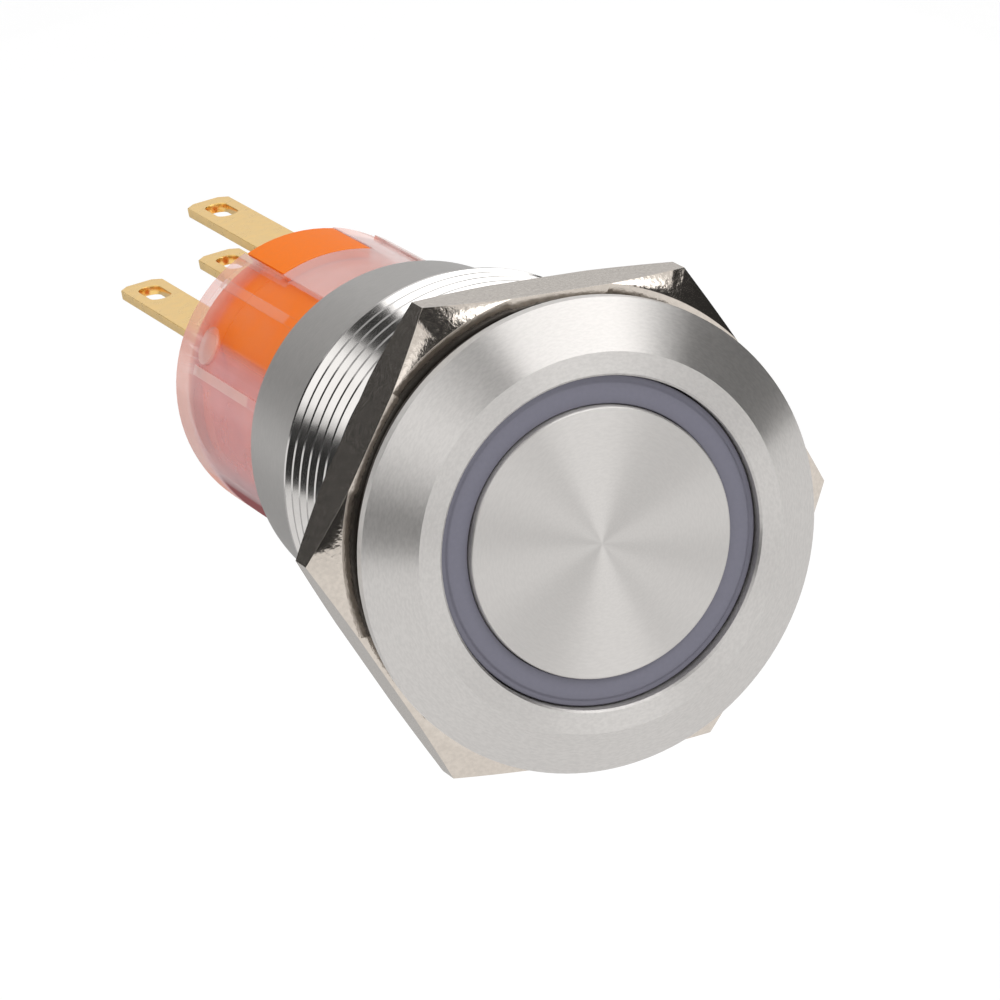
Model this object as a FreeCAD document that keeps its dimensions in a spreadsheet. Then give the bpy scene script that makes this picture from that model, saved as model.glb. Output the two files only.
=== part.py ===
import FreeCAD, Part

import math
import os
import re

import Sketcher
from FreeCAD import Placement, Rotation, Vector

# Ring-lit momentary push button for a 19 mm panel hole, in millimetres.
# The button's axis is the Y axis. The front faces -Y, the solder tabs point to +Y and +Z is up.
# The origin is on the axis, in the plane of the underside of the head, which the gasket seals against.

SIZES = {
    # Head and threaded barrel, one turned piece
    "thread_diameter": 18.9,
    "thread_length": 14.7,
    "thread_runout": 0.6,
    "thread_depth": 0.6,
    "bore_wall": 1.75,
    "land_width": 1.1,
    "bevel_width": 2.2,
    "bevel_depth": 1.44,
    "head_thickness": 2.1,
    "tail_length": 6.5,
    "tail_taper": 0.5,
    "tail_wall": 0.45,
    "spring_room": 5.0,
    "shoulder_thickness": 1.2,
    # Gasket and clamp nut
    "gasket_thickness": 1.1,
    "gasket_setback": 0.35,
    "nut_wall": 1.55,
    "nut_thickness": 3.0,
    "nut_face_rim": 0.25,
    "nut_chamfer_angle": 30.0,
    "nut_turn": -7.7,
    # Button
    "stroke": 2.5,
    "ring_width": 1.29,
    "ring_drop": 0.45,
    "ring_skirt_length": 3.2,
    "disc_thickness": 1.0,
    "disc_drop": 0.1,
    "stud_diameter": 2.3,
    "web_thickness": 1.4,
    "spring_channel": 2.4,
    "stem_wall": 0.9,
    "stem_end_length": 0.85,
    "clip_reach": 1.3,
    "clip_thickness": 0.5,
    "clip_mouth": 6.8,
    "plunger_diameter": 2.8,
    "plunger_flange_play": 0.5,
    "plunger_flange_thickness": 0.95,
    # Return springs
    "return_spring_wire": 0.6,
    "return_spring_turns": 2.0,
    "slider_spring_diameter": 1.2,
    "slider_spring_wire": 0.3,
    "slider_spring_turns": 2.0,
    # Lamp board
    "board_gap": 0.9,
    "board_thickness": 0.8,
    "led_size": 1.6,
    "led_height": 0.6,
    "resistor_length": 3.2,
    "resistor_width": 1.6,
    "resistor_height": 0.6,
    # Contact block and its rear base
    "block_flange_thickness": 1.6,
    "block_length": 18.0,
    "block_side_cut": 1.25,
    "chamber_width": 4.2,
    "chamber_roof": 0.9,
    "chamber_floor": 2.4,
    "base_length": 3.3,
    "tongue_length": 5.2,
    "tongue_root": 0.8,
    "tongue_angle": 36.4,
    # Clear cover
    "cover_flare": 0.45,
    "cover_flare_length": 2.4,
    "cover_wall": 0.45,
    "cover_lip": 0.25,
    "window_play": 0.05,
    "window_side_play": 0.6,
    "rib_width": 0.5,
    "rib_height": 0.16,
    "rib_offset": 33.9,
    "rib_setback": 1.4,
    "low_rib_offset": 67.9,
    "low_rib_setback": 2.8,
    "peg_diameter": 1.9,
    "peg_height": 0.22,
    "peg_offset": 57.0,
    "peg_setback": 3.9,
    # Solder tabs and contacts
    "tab_width": 2.3,
    "tab_thickness": 0.5,
    "tab_reach": 12.95,
    "tab_chamfer": 0.45,
    "eye_width": 1.1,
    "eye_length": 2.8,
    "eye_position": 2.5,
    "top_tab_setback": 0.5,
    "tab_pitch": 2.8,
    "bend_length": 1.5,
    "lamp_tab_setback": 2.45,
    "lamp_tab_drop": 0.4,
    "lamp_stem_width": 1.4,
    "contact_height": 1.6,
    "contact_reach": 8.0,
    "contact_diameter": 1.4,
    "contact_thickness": 0.45,
    "contact_end": 0.9,
    "pivot_lead": 1.4,
    "blade_thickness": 0.3,
    "blade_width": 2.0,
    "blade_tilt": 1.79,
    "curl_wall": 0.3,
    "ear_reach": 5.0,
    "ear_width": 0.8,
    # Slider
    "slider_gap": 0.4,
    "slider_face_thickness": 1.6,
    "slider_rise": 0.95,
    "slider_play": 0.2,
    "slider_end_gap": 1.1,
    "cheek_thickness": 0.6,
    "socket_depth": 1.2,
    "spring_seat_depth": 2.6,
    # Clearances, and how far a cut starts outside the solid
    "running_fit": 0.08,
    "seat_gap": 0.05,
    "loose_gap": 0.15,
    "overcut": 1.0,
}

# Places along the axis, each a formula of the sizes above
FRONT = "(-head_thickness)"
SHOULDER = "(ring_drop - head_thickness + ring_skirt_length + spring_room)"
SHOULDER_REAR = "(" + SHOULDER + " + shoulder_thickness)"
TAIL_REAR = "(thread_length + tail_length)"
RING_FACE = "(ring_drop - head_thickness)"
DISC_FRONT = "(disc_drop - head_thickness)"
DISC_REAR = "(" + DISC_FRONT + " + disc_thickness)"
WEB_REAR = "(" + DISC_REAR + " + seat_gap + web_thickness)"
SKIRT_REAR = "(" + RING_FACE + " + ring_skirt_length)"
CLIP_FRONT = "(" + SHOULDER_REAR + " + seat_gap)"
CLIP_REAR = "(" + CLIP_FRONT + " + clip_thickness)"
STEM_REAR = "(" + CLIP_REAR + " + stem_end_length)"
BOARD_FRONT = "(" + STEM_REAR + " + stroke + board_gap)"
BOARD_REAR = "(" + BOARD_FRONT + " + board_thickness)"
BLOCK_WALL = "(" + BOARD_REAR + " + block_flange_thickness)"
BLOCK_REAR = "(" + BOARD_REAR + " + block_length)"
BASE_REAR = "(" + BLOCK_REAR + " + base_length)"
COVER_REAR = "(" + BASE_REAR + " + cover_lip)"
TONGUE_FRONT = "(" + BASE_REAR + " - tongue_length)"
TAB_END = "(" + BASE_REAR + " + tab_reach)"
SLIDER_FRONT = "(" + BLOCK_WALL + " + slider_gap)"
SLIDER_FACE = "(" + SLIDER_FRONT + " + slider_face_thickness)"
SLIDER_REAR = "(" + BLOCK_REAR + " - stroke - slider_end_gap)"
SPRING_SEAT = "(" + SLIDER_FACE + " + spring_seat_depth)"
PLUNGER_REAR = "(" + SLIDER_FRONT + " + socket_depth)"
PIVOT = "(" + BLOCK_REAR + " - pivot_lead)"
CONTACT_Y = "(" + PIVOT + " - contact_reach)"
CONTACT_TIP = "(" + CONTACT_Y + " - contact_end)"

# Radii, each worked out from the thread inwards or outwards
THREAD_R = "(thread_diameter/2)"
BORE_R = "(" + THREAD_R + " - bore_wall)"
BEVEL_R = "(" + BORE_R + " + land_width)"
HEAD_R = "(" + BEVEL_R + " + bevel_width)"
TAIL_FRONT_R = "(" + THREAD_R + " - thread_depth)"
TAIL_REAR_R = "(" + TAIL_FRONT_R + " - tail_taper)"
CAVITY_R = "(" + TAIL_REAR_R + " - tail_wall)"
GASKET_R = "(" + HEAD_R + " - gasket_setback)"
NUT_R = "(" + THREAD_R + " + nut_wall)"
NUT_FACE_R = "(" + NUT_R + " + nut_face_rim)"
RING_R = "(" + BORE_R + " - running_fit)"
DISC_SEAT_R = "(" + RING_R + " - ring_width)"
DISC_R = "(" + DISC_SEAT_R + " - seat_gap)"
STEM_R = "(" + BORE_R + " - spring_channel)"
STEM_BORE_R = "(" + STEM_R + " - stem_wall)"
CLIP_R = "(" + STEM_R + " + clip_reach)"
FLANGE_R = "(" + STEM_BORE_R + " - plunger_flange_play)"
LED_R = "(" + STEM_R + " - stem_wall/2)"
PLUNGER_R = "(plunger_diameter/2)"
PLUNGER_HOLE = "(plunger_diameter + 2*loose_gap)"
COLLAR_R = "(" + CAVITY_R + " - 2*seat_gap)"
COVER_R = "(" + COLLAR_R + " - cover_flare)"
COVER_BORE_R = "(" + COVER_R + " - cover_wall)"
BLOCK_R = "(" + COVER_BORE_R + " - 2*seat_gap)"

# Heights and widths inside the block
CHAMBER_TOP = "(" + BLOCK_R + " - chamber_roof)"
CHAMBER_BOTTOM = "(chamber_floor - " + BLOCK_R + ")"
CLOSED_HEIGHT = "(" + BLOCK_R + " - top_tab_setback)"
COMMON_HEIGHT = "(" + CLOSED_HEIGHT + " - tab_pitch)"
OPEN_HEIGHT = "(" + COMMON_HEIGHT + " - tab_pitch)"
LAMP_HEIGHT = "(" + COMMON_HEIGHT + " - lamp_tab_drop)"
LAMP_X = "(" + BLOCK_R + " - lamp_tab_setback)"
HALF_TAB = "(tab_width/2)"
HALF_SHEET = "(tab_thickness/2)"
SLIDER_TOP = "(" + COMMON_HEIGHT + " + slider_rise)"
SLIDER_BOTTOM = "(" + CHAMBER_BOTTOM + " + slider_play)"
SPRING_HEIGHT = "((" + CHAMBER_BOTTOM + " + " + OPEN_HEIGHT + " - " + HALF_SHEET + ")/2)"
SPRING_D = "(" + BORE_R + " + " + STEM_R + ")"

document = FreeCAD.newDocument("push_button")
sheet = document.addObject("Spreadsheet::Sheet", "Sizes")
for row, (name, size) in enumerate(SIZES.items(), start=1):
    sheet.set("A%d" % row, name)
    sheet.set("B%d" % row, str(size))
    sheet.setAlias("B%d" % row, name)
document.recompute()

pieces = []


def bound(text):
    """Point each size named in a formula at its cell in the sheet."""
    return re.sub(r"[a-z_]{3,}", lambda word: "Sizes." + word.group() if word.group() in SIZES else word.group(), text)


def bind(thing, path, text):
    thing.setExpression(path, bound(text))


def new_body(label):
    body = document.addObject("PartDesign::Body", label)
    body.Label = label
    pieces.append(body)
    return body


def new_sketch(body, role, along=None):
    """Add a sketch on one of the body's own planes, moved along the plane's normal."""
    sketch = body.newObject("Sketcher::SketchObject", body.Label + "_sketch")
    plane = [part for part in body.Origin.OriginFeatures if part.Role == role][0]
    sketch.AttachmentSupport = [(plane, "")]
    sketch.MapMode = "FlatFace"
    if along:
        bind(sketch, "AttachmentOffset.Base.z", along)
    return sketch


def place_point(sketch, geometry, point, across, up):
    """Tie a point of the sketch to the origin by two formulas."""
    for kind, axis, text in (("DistanceX", -2, across), ("DistanceY", -1, up)):
        if text == "0":
            sketch.addConstraint(Sketcher.Constraint("PointOnObject", geometry, point, axis))
            continue
        index = sketch.addConstraint(Sketcher.Constraint(kind, -1, 1, geometry, point, 1.0))
        bind(sketch, "Constraints[%d]" % index, text)


def add_outline(sketch, corners):
    """Draw a closed outline of straight lines through corners given as formulas."""
    count = len(corners)
    first = sketch.GeometryCount
    spread = [Vector(math.cos(2*math.pi*i/count), math.sin(2*math.pi*i/count), 0) for i in range(count)]
    for i in range(count):
        sketch.addGeometry(Part.LineSegment(spread[i], spread[(i + 1) % count]), False)
    for i in range(count):
        following = first + (i + 1) % count
        sketch.addConstraint(Sketcher.Constraint("Coincident", first + i, 2, following, 1))
    for i, (across, up) in enumerate(corners):
        place_point(sketch, first + i, 1, across, up)


def add_circle(sketch, across, up, diameter):
    geometry = sketch.addGeometry(Part.Circle(Vector(0, 0, 0), Vector(0, 0, 1), 1.0), False)
    place_point(sketch, geometry, 3, across, up)
    index = sketch.addConstraint(Sketcher.Constraint("Diameter", geometry, 2.0))
    bind(sketch, "Constraints[%d]" % index, diameter)


def box_corners(left, right, low, high):
    return [(left, low), (right, low), (right, high), (left, high)]


def turn(body, corners, kind="PartDesign::Revolution", angle=None):
    """Turn an outline of (radius, place along Y) about the Y axis. With an angle it is centred on +Z."""
    sketch = new_sketch(body, "YZ_Plane" if angle else "XY_Plane")
    if angle:
        add_outline(sketch, [(place, radius) for radius, place in corners])
    else:
        add_outline(sketch, corners)
    feature = body.newObject(kind, body.Label + "_turned")
    feature.Profile = sketch
    feature.ReferenceAxis = (sketch, ["H_Axis" if angle else "V_Axis"])
    if angle:
        feature.Midplane = True
        bind(feature, "Angle", angle)
    else:
        feature.Angle = 360
    document.recompute()
    return feature


def raised(body, draw, start, length):
    """Pad a sketch on the XZ plane from the place start towards +Y."""
    sketch = new_sketch(body, "XZ_Plane", "-" + start)
    draw(sketch)
    pad = body.newObject("PartDesign::Pad", body.Label + "_pad")
    pad.Profile = sketch
    pad.Reversed = True
    bind(pad, "Length", length)
    document.recompute()
    return pad


def cut(body, draw, start=None, length=None, role="XZ_Plane"):
    """Pocket a sketch towards +Y from the place start, or through everything both ways."""
    sketch = new_sketch(body, role, "-" + start if start else None)
    draw(sketch)
    pocket = body.newObject("PartDesign::Pocket", body.Label + "_cut")
    pocket.Profile = sketch
    if length:
        bind(pocket, "Length", length)
    else:
        pocket.Type = "ThroughAll"
        pocket.Midplane = True
    before = body.Shape.Volume
    document.recompute()
    if body.Shape.Volume > before - 1e-6:
        raise RuntimeError(body.Label + ": a pocket cuts nothing")
    return pocket


def side_pad(body, corners, width):
    """Pad an outline of (place along Y, height) to both sides of the YZ plane."""
    sketch = new_sketch(body, "YZ_Plane")
    add_outline(sketch, corners)
    pad = body.newObject("PartDesign::Pad", body.Label + "_side")
    pad.Profile = sketch
    pad.Midplane = True
    bind(pad, "Length", width)
    document.recompute()
    return pad


def housing():
    """Head, threaded barrel and tail turned from one bar of stainless steel."""
    body = new_body("housing")
    turn(body, [
        (BORE_R, FRONT),
        (BEVEL_R, FRONT),
        (HEAD_R, FRONT + " + bevel_depth"),
        (HEAD_R, "0"),
        (THREAD_R, "0"),
        (THREAD_R, "thread_length - thread_runout"),
        (TAIL_FRONT_R, "thread_length"),
        (TAIL_REAR_R, TAIL_REAR),
        (CAVITY_R, TAIL_REAR),
        (CAVITY_R, SHOULDER_REAR),
        (STEM_R + " + running_fit", SHOULDER_REAR),
        (STEM_R + " + running_fit", SHOULDER),
        (BORE_R, SHOULDER),
    ])


def panel_gasket():
    """Flat rubber washer under the head."""
    body = new_body("panel_gasket")
    inner = THREAD_R + " + seat_gap"
    turn(body, [(inner, "0"), (GASKET_R, "0"), (GASKET_R, "gasket_thickness"), (inner, "gasket_thickness")])


def clamp_nut():
    """Hexagon nut with chamfered corners on both faces."""
    body = new_body("clamp_nut")
    front = "gasket_thickness"
    rear = "(gasket_thickness + nut_thickness)"
    reach = "(2*" + NUT_R + ")"

    def hexagon(sketch):
        angles = ["(nut_turn + %d)*1deg" % (60*i) for i in range(6)]
        add_outline(sketch, [(reach + "/sqrt(3)*cos(" + a + ")", reach + "/sqrt(3)*sin(" + a + ")") for a in angles])

    raised(body, hexagon, front, "nut_thickness")
    fall = "(" + reach + " - " + NUT_FACE_R + ")*tan(nut_chamfer_angle*1deg)"
    for face, sign in ((front, " + "), (rear, " - ")):
        turn(body, [(NUT_FACE_R, face), (reach, face), (reach, face + sign + fall)], "PartDesign::Groove")
    cut(body, lambda sketch: add_circle(sketch, "0", "0", "thread_diameter + 2*seat_gap"))


def button_disc():
    """Turned stainless disc with the stud that holds it in the plunger."""
    body = new_body("button_disc")
    turn(body, [
        ("0", DISC_FRONT),
        (DISC_R, DISC_FRONT),
        (DISC_R, DISC_REAR),
        ("stud_diameter/2", DISC_REAR),
        ("stud_diameter/2", WEB_REAR + " + plunger_flange_thickness/2"),
        ("0", WEB_REAR + " + plunger_flange_thickness/2"),
    ])


def light_ring():
    """Translucent button body: the lit ring, the web and the hollow stem."""
    body = new_body("light_ring")
    turn(body, [
        (DISC_SEAT_R, RING_FACE),
        (RING_R, RING_FACE),
        (RING_R, SKIRT_REAR),
        (STEM_R, SKIRT_REAR),
        (STEM_R, STEM_REAR),
        (STEM_BORE_R, STEM_REAR),
        (STEM_BORE_R, WEB_REAR),
        ("stud_diameter/2 + seat_gap", WEB_REAR),
        ("stud_diameter/2 + seat_gap", DISC_REAR + " + seat_gap"),
        (DISC_SEAT_R, DISC_REAR + " + seat_gap"),
    ])


def plunger():
    """Pin behind the disc that reaches through the lamp board to the slider."""
    body = new_body("plunger")
    turn(body, [
        ("stud_diameter/2 + seat_gap", WEB_REAR),
        (FLANGE_R, WEB_REAR),
        (FLANGE_R, WEB_REAR + " + plunger_flange_thickness"),
        (PLUNGER_R, WEB_REAR + " + plunger_flange_thickness"),
        (PLUNGER_R, PLUNGER_REAR),
        ("0", PLUNGER_REAR),
        ("0", WEB_REAR + " + plunger_flange_thickness/2 + seat_gap"),
        ("stud_diameter/2 + seat_gap", WEB_REAR + " + plunger_flange_thickness/2 + seat_gap"),
    ])


def retaining_clip():
    """Open spring clip pressed on the stem, behind the housing's shoulder."""
    body = new_body("retaining_clip")
    inner = STEM_R + " + seat_gap"
    turn(body, [
        (inner, CLIP_FRONT),
        (CLIP_R, CLIP_FRONT),
        (CLIP_R, CLIP_REAR),
        (inner, CLIP_REAR),
    ])

    def mouth(sketch):
        add_outline(sketch, box_corners("-clip_mouth/2", "clip_mouth/2", "-2*" + CLIP_R, "0"))

    cut(body, mouth, CLIP_FRONT, "2*clip_thickness")


def coil(label, diameter, wire, turns, start, end, height):
    """A coil spring between the places start and end, on an axis along Y. Four sides stand for its round wire."""
    path = document.addObject("Part::Helix", label + "_path")
    bind(path, "Radius", diameter + "/2")
    bind(path, "Height", "%s - %s - %s - 2*seat_gap" % (end, start, wire))
    bind(path, "Pitch", "(%s - %s - %s - 2*seat_gap)/%s" % (end, start, wire, turns))
    section = document.addObject("Part::RegularPolygon", label + "_section")
    section.Polygon = 4
    bind(section, "Circumradius", wire + "/2")
    section.Placement = Placement(Vector(0, 0, 0), Rotation(Vector(1, 0, 0), 90))
    bind(section, "Placement.Base.x", diameter + "/2")
    spring = document.addObject("Part::Sweep", label)
    spring.Label = label
    spring.Sections = [section]
    spring.Spine = (path, ["Edge1"])
    spring.Solid = True
    spring.Frenet = True
    spring.Placement = Placement(Vector(0, 0, 0), Rotation(Vector(1, 0, 0), -90))
    bind(spring, "Placement.Base.y", "%s + %s/2 + seat_gap" % (start, wire))
    bind(spring, "Placement.Base.z", height)
    pieces.append(spring)


def led_board():
    """Round circuit board that closes the front of the contact block."""
    body = new_body("led_board")

    def outline(sketch):
        add_circle(sketch, "0", "0", "2*" + COLLAR_R)
        add_circle(sketch, "0", "0", PLUNGER_HOLE)

    raised(body, outline, BOARD_FRONT, "board_thickness")
    cut(body, lamp_slots)


def lamp_slots(sketch):
    """The two narrow slots that the lamp leads pass through."""
    half = "(lamp_stem_width/2 + seat_gap)"
    for side in ("", "-"):
        middle = side + LAMP_X
        add_outline(sketch, box_corners(
            middle + " - " + half, middle + " + " + half,
            LAMP_HEIGHT + " - " + HALF_SHEET + " - seat_gap",
            LAMP_HEIGHT + " + " + HALF_SHEET + " + seat_gap"))


def leds():
    """Six lamp chips facing the end of the hollow stem."""
    chips = []
    for i in range(6):
        chip = document.addObject("Part::Box", "led_%d" % (i + 1))
        bind(chip, "Length", "led_size")
        bind(chip, "Width", "led_height")
        bind(chip, "Height", "led_size")
        bind(chip, "Placement.Base.x", LED_R + "*cos(%ddeg) - led_size/2" % (60*i))
        bind(chip, "Placement.Base.y", BOARD_FRONT + " - led_height")
        bind(chip, "Placement.Base.z", LED_R + "*sin(%ddeg) - led_size/2" % (60*i))
        chips.append(chip)
    group = document.addObject("Part::Compound", "leds")
    group.Label = "leds"
    group.Links = chips
    pieces.append(group)


def lamp_resistor():
    """Series resistor of the lamps, below the plunger and between two lamp chips."""
    chip = document.addObject("Part::Box", "lamp_resistor")
    chip.Label = "lamp_resistor"
    bind(chip, "Length", "resistor_width")
    bind(chip, "Width", "resistor_height")
    bind(chip, "Height", "resistor_length")
    bind(chip, "Placement.Base.x", "-resistor_width/2")
    bind(chip, "Placement.Base.y", BOARD_FRONT + " - resistor_height")
    bind(chip, "Placement.Base.z", "-" + LED_R + " - resistor_length/2")
    pieces.append(chip)


def contact_block():
    """Orange moulded block with side flats and the chamber that holds the contacts."""
    body = new_body("contact_block")
    turn(body, [
        ("0", BOARD_REAR),
        (COLLAR_R, BOARD_REAR),
        (COLLAR_R, BLOCK_WALL),
        (BLOCK_R, BLOCK_WALL),
        (BLOCK_R, BLOCK_REAR),
        ("0", BLOCK_REAR),
    ])
    cut(body, lambda sketch: add_circle(sketch, "0", "0", PLUNGER_HOLE))
    cut(body, lamp_slots)

    def flats(sketch):
        reach = "2*" + BLOCK_R
        for side in ("", "-"):
            add_outline(sketch, box_corners(
                side + "(" + BLOCK_R + " - block_side_cut)", side + reach, "-" + reach, reach))

    cut(body, flats, BLOCK_WALL, "block_length")

    def chamber(sketch):
        add_outline(sketch, box_corners("-chamber_width/2", "chamber_width/2", CHAMBER_BOTTOM, CHAMBER_TOP))

    cut(body, chamber, BLOCK_WALL, "block_length")


def terminal_base():
    """Rear base that holds the tabs, with the tongue that snaps into the cover's window."""
    body = new_body("terminal_base")
    raised(body, lambda sketch: add_circle(sketch, "0", "0", "2*" + BLOCK_R), BLOCK_REAR, "base_length")
    turn(body, [
        (BLOCK_R + " - tongue_root", BLOCK_REAR),
        (BLOCK_R + " + seat_gap", BLOCK_REAR),
        (BLOCK_R + " + seat_gap", TONGUE_FRONT),
        (COVER_R, TONGUE_FRONT),
        (COVER_R, BASE_REAR),
        (BLOCK_R + " - tongue_root", BASE_REAR),
    ], angle="tongue_angle")

    def slots(sketch):
        half = "(" + HALF_TAB + " + seat_gap)"
        rise = "(" + HALF_SHEET + " + seat_gap)"
        for height in (OPEN_HEIGHT, COMMON_HEIGHT, CLOSED_HEIGHT):
            add_outline(sketch, box_corners("-" + half, half, height + " - " + rise, height + " + " + rise))
        for side in ("", "-"):
            middle = side + LAMP_X
            add_outline(sketch, box_corners(
                middle + " - " + half, middle + " + " + half,
                LAMP_HEIGHT + " - " + rise, LAMP_HEIGHT + " + " + rise))

    cut(body, slots)

    def bend_room(sketch):
        half = "(" + HALF_TAB + " + loose_gap)"
        add_outline(sketch, box_corners(
            "-" + half, half,
            COMMON_HEIGHT + " + contact_height - tab_thickness",
            CLOSED_HEIGHT + " + " + HALF_SHEET + " + seat_gap"))

    cut(body, bend_room, BLOCK_REAR, "bend_length + tab_thickness")


def clear_cover():
    """Clear shell over the block, with its collar, flare, ribs, pegs and window."""
    body = new_body("clear_cover")
    collar_rear = "(" + TAIL_REAR + " + seat_gap)"
    flare_rear = "(" + collar_rear + " + cover_flare_length)"
    turn(body, [
        (COVER_BORE_R, BLOCK_WALL + " + seat_gap"),
        (COLLAR_R, BLOCK_WALL + " + seat_gap"),
        (COLLAR_R, collar_rear),
        (COVER_R, flare_rear),
        (COVER_R, COVER_REAR),
        (COVER_BORE_R, COVER_REAR),
    ])
    rib_front = "(" + flare_rear + " - cover_flare_length/2)"
    for offset, setback in (("rib_offset", "rib_setback"), ("low_rib_offset", "low_rib_setback")):
        for side in ("", "-"):
            rib(body, side + offset, rib_front, "(" + COVER_REAR + " - " + setback + ")")
    for side in ("", "-"):
        peg(body, side + "peg_offset")

    def window(sketch):
        high = "(2*" + COVER_R + ")"
        half = high + "*tan((tongue_angle/2 + window_side_play)*1deg)"
        add_outline(sketch, [("0", "0"), (half, high), ("-" + half, high)])

    cut(body, window, "(" + TONGUE_FRONT + " - window_play)", "2*tongue_length")


def rib(body, offset, front, rear):
    """A low rib along the cover, at an angle from the top towards -X."""
    def draw(sketch):
        around = "(90 + " + offset + ")*1deg"
        corners = []
        for radius, half in ((COVER_R + " - cover_wall/2", "-rib_width/2"),
                             (COVER_R + " + rib_height", "-rib_width/2"),
                             (COVER_R + " + rib_height", "rib_width/2"),
                             (COVER_R + " - cover_wall/2", "rib_width/2")):
            corners.append(("(%s)*cos(%s) - (%s)*sin(%s)" % (radius, around, half, around),
                            "(%s)*sin(%s) + (%s)*cos(%s)" % (radius, around, half, around)))
        add_outline(sketch, corners)

    raised(body, draw, front, rear + " - " + front)


def peg(body, offset):
    """A round moulded peg that stands out of the cover, at an angle from the top towards -X."""
    sketch = new_sketch(body, "YZ_Plane")
    add_circle(sketch, COVER_REAR + " - peg_setback", "0", "peg_diameter")
    root = "(" + COVER_R + " - cover_wall/2)"
    sketch.AttachmentOffset = Placement(Vector(0, 0, 0), Rotation(Vector(1, 0, 0), 90))
    bind(sketch, "AttachmentOffset.Base.y", root + "*cos((" + offset + ")*1deg)")
    bind(sketch, "AttachmentOffset.Base.z", "-" + root + "*sin((" + offset + ")*1deg)")
    bind(sketch, "AttachmentOffset.Rotation.Angle", "-90deg - (" + offset + ")*1deg")
    pad = body.newObject("PartDesign::Pad", body.Label + "_peg")
    pad.Profile = sketch
    bind(pad, "Length", "cover_wall/2 + peg_height")
    document.recompute()


def finish_tab(body):
    """Cut the long eye and the two end corners of a tab centred on the YZ plane."""
    middle = TAB_END + " - eye_position"
    reach = "(eye_length - eye_width)/2"
    for end in (" - ", " + "):
        cut(body, lambda sketch: add_circle(sketch, "0", middle + end + reach, "eye_width"), role="XY_Plane")
    cut(body, lambda sketch: add_outline(sketch, box_corners(
        "-eye_width/2", "eye_width/2", middle + " - " + reach, middle + " + " + reach)), role="XY_Plane")

    def corners(sketch):
        for side in ("", "-"):
            add_outline(sketch, [
                (side + "(" + HALF_TAB + " - tab_chamfer)", TAB_END),
                (side + HALF_TAB, TAB_END + " - tab_chamfer"),
                (side + "tab_width", TAB_END),
            ])

    cut(body, corners, role="XY_Plane")


def bent_tab(label, tab, inner, bend_rear):
    """A contact tab whose inner end steps from the height tab to the height inner."""
    body = new_body(label)
    rise = " + " + HALF_SHEET
    fall = " - " + HALF_SHEET
    bend_front = "(" + bend_rear + " - bend_length)"
    side_pad(body, [
        (TAB_END, tab + fall), (TAB_END, tab + rise), (bend_rear, tab + rise), (bend_front, inner + rise),
        (CONTACT_TIP, inner + rise), (CONTACT_TIP, inner + fall), (bend_front, inner + fall), (bend_rear, tab + fall),
    ], "tab_width")
    finish_tab(body)


def terminal_common():
    """Straight tab whose rounded front end carries the blade."""
    body = new_body("terminal_common")
    low = COMMON_HEIGHT + " - " + HALF_SHEET
    high = COMMON_HEIGHT + " + " + HALF_SHEET
    side_pad(body, box_corners(PIVOT, TAB_END, low, high), "tab_width")
    sketch = new_sketch(body, "YZ_Plane")
    add_circle(sketch, PIVOT, COMMON_HEIGHT, "tab_thickness")
    nose = body.newObject("PartDesign::Pad", "terminal_common_nose")
    nose.Profile = sketch
    nose.Midplane = True
    bind(nose, "Length", "tab_width")
    document.recompute()
    finish_tab(body)


def terminal_lamp(label, side):
    """Straight lamp tab with a narrow stem that runs forward through the block to the board."""
    body = new_body(label)
    side_pad(body, box_corners(BOARD_FRONT, TAB_END, "-" + HALF_SHEET, HALF_SHEET), "tab_width")
    finish_tab(body)

    def shoulders(sketch):
        for edge in ("", "-"):
            add_outline(sketch, box_corners(
                edge + "lamp_stem_width/2", edge + "tab_width", BOARD_FRONT + " - overcut", BLOCK_REAR))

    cut(body, shoulders, role="XY_Plane")
    bind(body, "Placement.Base.x", side + LAMP_X)
    bind(body, "Placement.Base.z", LAMP_HEIGHT)


def fixed_contacts():
    """Silver contact rivets of the two fixed contacts."""
    sheet_gap = "(contact_height - " + HALF_SHEET + ")"
    rivets = []
    for name, base in (("closed_rivet", " + " + sheet_gap + " - contact_thickness"), ("open_rivet", " - " + sheet_gap)):
        rivet = document.addObject("Part::Cylinder", name)
        bind(rivet, "Radius", "contact_diameter/2")
        bind(rivet, "Height", "contact_thickness")
        bind(rivet, "Placement.Base.y", CONTACT_Y)
        bind(rivet, "Placement.Base.z", COMMON_HEIGHT + base)
        rivets.append(rivet)
    group = document.addObject("Part::Compound", "fixed_contacts")
    group.Label = "fixed_contacts"
    group.Links = rivets
    pieces.append(group)


def tilt(piece):
    """Hang a piece drawn about the pivot at its place and its angle at rest."""
    piece.Placement = Placement(Vector(0, 0, 0), Rotation(Vector(1, 0, 0), 1))
    bind(piece, "Placement.Base.y", PIVOT)
    bind(piece, "Placement.Base.z", COMMON_HEIGHT)
    bind(piece, "Placement.Rotation.Angle", "-blade_tilt*1deg")


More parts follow.
